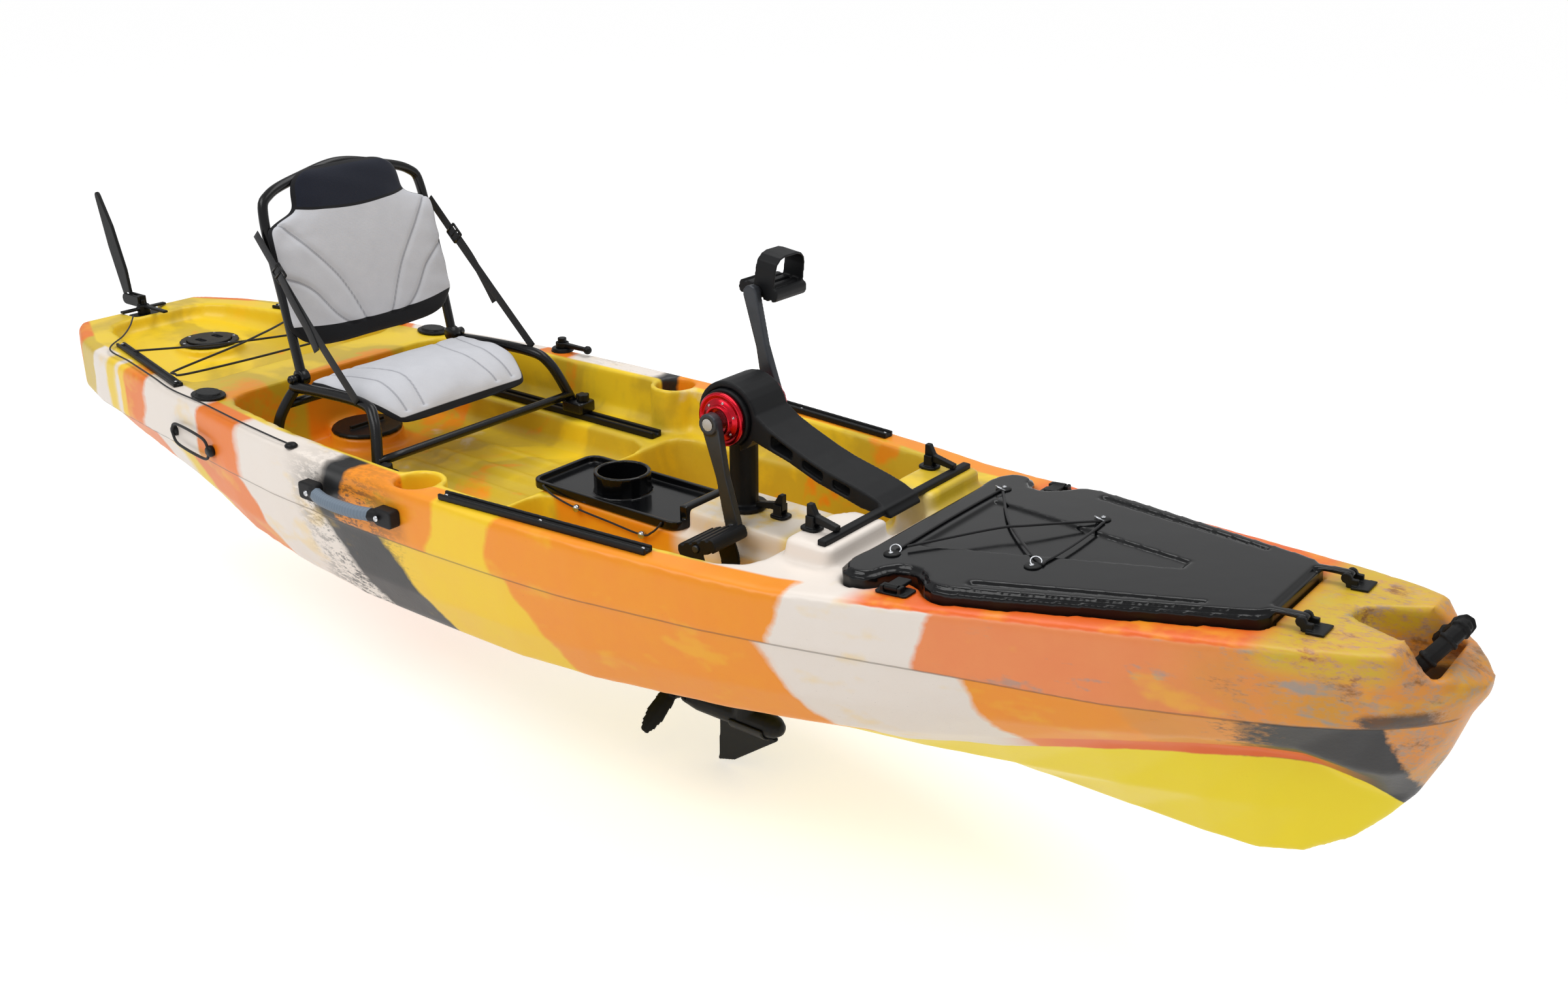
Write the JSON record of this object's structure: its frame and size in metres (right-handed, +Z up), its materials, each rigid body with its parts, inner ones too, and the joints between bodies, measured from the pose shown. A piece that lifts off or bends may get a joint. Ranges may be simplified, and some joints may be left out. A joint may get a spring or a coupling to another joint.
{
  "type": "pedal kayak",
  "caption": "Sit-on-top fishing kayak with a drop-in pedal drive and propeller, framed folding seat, front hatch, gear tracks and a lifting rudder steered by a hand lever",
  "frame": {"origin": "on the flat underside of the keel, amidships", "axes": "+X to the bow, +Y to port, +Z up"},
  "size_m": [3.2911, 0.9036, 1.0537],
  "materials": {
    "hull_plastic": "rotomoulded polyethylene, orange, yellow and white camouflage, slightly satin",
    "black_plastic": "injection-moulded black nylon, satin",
    "gloss_black": "smooth glossy black moulding",
    "black_rubber": "black elastic cord and soft grip",
    "grey_grip": "grey soft grip with black end caps",
    "crank_alloy": "dark grey anodised forging",
    "red_anodised": "red anodised, machined",
    "steel": "turned steel",
    "seat_tube": "black powder-coated aluminium tube",
    "grey_cloth": "light grey knitted cover over foam, black binding",
    "black_webbing": "woven black strap"
  },
  "bodies": {
    "boat": {"hull": "hull_plastic", "bow_handle": "black_rubber", "side_handle_starboard": "grey_grip", "side_handle_port": "grey_grip", "gear_track_starboard": "black_plastic", "gear_track_port": "black_plastic", "tank_track_starboard": "black_plastic", "tank_track_port": "black_plastic", "rod_holder_starboard": "black_plastic", "rod_holder_port": "black_plastic", "seat_rail_starboard": "black_plastic", "seat_rail_port": "black_plastic", "tank_hatch_ring": "black_plastic", "console_tray": "gloss_black", "console_bungee": "black_rubber", "hatch_hinge_starboard": "black_plastic", "hatch_hinge_port": "black_plastic", "hatch_latch_base_starboard": "black_plastic", "hatch_latch_base_port": "black_plastic", "drive_latch_base_starboard": "black_plastic", "drive_latch_base_port": "black_plastic", "drive_latch_base_well": "black_plastic", "steering_base": "black_plastic", "rudder_bracket": "black_plastic", "drain_plug": "black_plastic", "tank_bungee": "black_rubber", "rudder_line": "black_rubber", "paddle_loop": "black_rubber", "drive_housing": "black_plastic", "drive_arm": "black_plastic", "skeg_fin": "black_plastic", "hub_cover_starboard": "red_anodised", "hub_cover_port": "red_anodised"},
    "tank_lid": {"tank_hatch_lid": "black_plastic"},
    "seat_lid": {"seat_hatch_lid": "black_plastic"},
    "front_lid": {"front_hatch_lid": "gloss_black", "hatch_bungee": "black_rubber"},
    "hatch_lever_starboard": {"hatch_latch_lever_starboard": "black_plastic"},
    "hatch_lever_port": {"hatch_latch_lever_port": "black_plastic"},
    "drive_lever_starboard": {"drive_latch_lever_starboard": "black_plastic"},
    "drive_lever_port": {"drive_latch_lever_port": "black_plastic"},
    "drive_lever_well": {"drive_latch_lever_well": "black_plastic"},
    "hand_lever": {"steering_lever": "black_plastic"},
    "yoke": {"rudder_yoke": "black_plastic"},
    "blade": {"rudder_blade": "black_plastic"},
    "seat": {"seat_base_frame": "seat_tube", "seat_pan": "grey_cloth", "seat_strap_starboard": "black_webbing", "seat_strap_port": "black_webbing"},
    "seat_back": {"seat_back_frame": "seat_tube", "seat_back_panel": "grey_cloth"},
    "knob_starboard": {"seat_knob_starboard": "black_plastic"},
    "knob_port": {"seat_knob_port": "black_plastic"},
    "cranks": {"crank_axle": "steel", "crank_starboard": "crank_alloy", "crank_port": "crank_alloy"},
    "tread_starboard": {"pedal_starboard": "black_plastic"},
    "tread_port": {"pedal_port": "black_plastic"},
    "upright_shaft": {"drive_shaft": "steel"},
    "screw": {"propeller": "black_plastic"}
  },
  "joints": [
    {"name": "crank_spin", "type": "hinge", "parent": "boat", "child": "cranks", "pos_m": [0.324, 0, 0.482], "axis": [0, 1, 0], "continuous": true},
    {"name": "pedal_starboard_spin", "type": "hinge", "parent": "cranks", "child": "tread_starboard", "pos_m": [0.37326, -0.15, 0.29744], "axis": [0, 1, 0], "continuous": true},
    {"name": "pedal_port_spin", "type": "hinge", "parent": "cranks", "child": "tread_port", "pos_m": [0.27474, 0.15, 0.66656], "axis": [0, 1, 0], "continuous": true},
    {"name": "upright_shaft_spin", "type": "hinge", "parent": "boat", "child": "upright_shaft", "pos_m": [0.324, 0, 0.2], "axis": [0, 0, 1], "continuous": true},
    {"name": "propeller_spin", "type": "hinge", "parent": "boat", "child": "screw", "pos_m": [0.14, 0, -0.13], "axis": [1, 0, 0], "continuous": true},
    {"name": "steering", "type": "hinge", "parent": "boat", "child": "hand_lever", "pos_m": [-0.5, 0.376, 0.36], "axis": [0, 0, 1], "range_deg": [-35, 35]},
    {"name": "rudder_yaw", "type": "hinge", "parent": "boat", "child": "yoke", "pos_m": [-1.556, 0, 0.35], "axis": [0, 0, 1], "range_deg": [-35, 35]},
    {"name": "rudder_lift", "type": "hinge", "parent": "yoke", "child": "blade", "pos_m": [-1.612, 0, 0.371], "axis": [0, -1, 0], "range_deg": [-15, 150]},
    {"name": "front_hatch", "type": "hinge", "parent": "boat", "child": "front_lid", "pos_m": [1.36935, 0, 0.42536], "axis": [0, 1, 0], "range_deg": [0, 95]},
    {"name": "hatch_latch_starboard", "type": "hinge", "parent": "boat", "child": "hatch_lever_starboard", "pos_m": [0.8135, -0.2585, 0.37627], "axis": [0.9967, 0, 0.0815], "range_deg": [0, 100]},
    {"name": "hatch_latch_port", "type": "hinge", "parent": "boat", "child": "hatch_lever_port", "pos_m": [0.8135, 0.2585, 0.37627], "axis": [-0.9967, 0, -0.0815], "range_deg": [0, 100]},
    {"name": "drive_latch_starboard", "type": "hinge", "parent": "boat", "child": "drive_lever_starboard", "pos_m": [0.604, -0.173, 0.4048], "axis": [0, -1, 0], "range_deg": [0, 80]},
    {"name": "drive_latch_port", "type": "hinge", "parent": "boat", "child": "drive_lever_port", "pos_m": [0.604, 0.173, 0.4048], "axis": [0, -1, 0], "range_deg": [0, 80]},
    {"name": "drive_latch_well", "type": "hinge", "parent": "boat", "child": "drive_lever_well", "pos_m": [0.405, 0, 0.3178], "axis": [0, 1, 0], "range_deg": [0, 80]},
    {"name": "seat_slide", "type": "slide", "parent": "boat", "child": "seat", "axis": [1, 0, 0], "range_m": [-0.012, 0.125]},
    {"name": "seat_fold", "type": "hinge", "parent": "seat", "child": "seat_back", "pos_m": [-0.662, 0, 0.402], "axis": [0, 1, 0], "range_deg": [0, 50]},
    {"name": "knob_starboard_turn", "type": "hinge", "parent": "seat", "child": "knob_starboard", "pos_m": [-0.336, -0.268, 0.29], "axis": [0, 0, 1], "continuous": true},
    {"name": "knob_port_turn", "type": "hinge", "parent": "seat", "child": "knob_port", "pos_m": [-0.336, 0.268, 0.29], "axis": [0, 0, 1], "continuous": true},
    {"name": "tank_lid_turn", "type": "hinge", "parent": "boat", "child": "tank_lid", "pos_m": [-1.292, 0, 0.34], "axis": [0, 0, 1], "range_deg": [0, 90]},
    {"name": "seat_lid_turn", "type": "hinge", "parent": "boat", "child": "seat_lid", "pos_m": [-0.732, 0, 0.225], "axis": [0, 0, 1], "range_deg": [0, 90]}
  ],
  "couplings": [
    {"joint": "upright_shaft_spin", "follows": "crank_spin", "ratio": 3.1667},
    {"joint": "propeller_spin", "follows": "crank_spin", "ratio": 4.75},
    {"joint": "rudder_yaw", "follows": "steering", "ratio": -1}
  ]
}
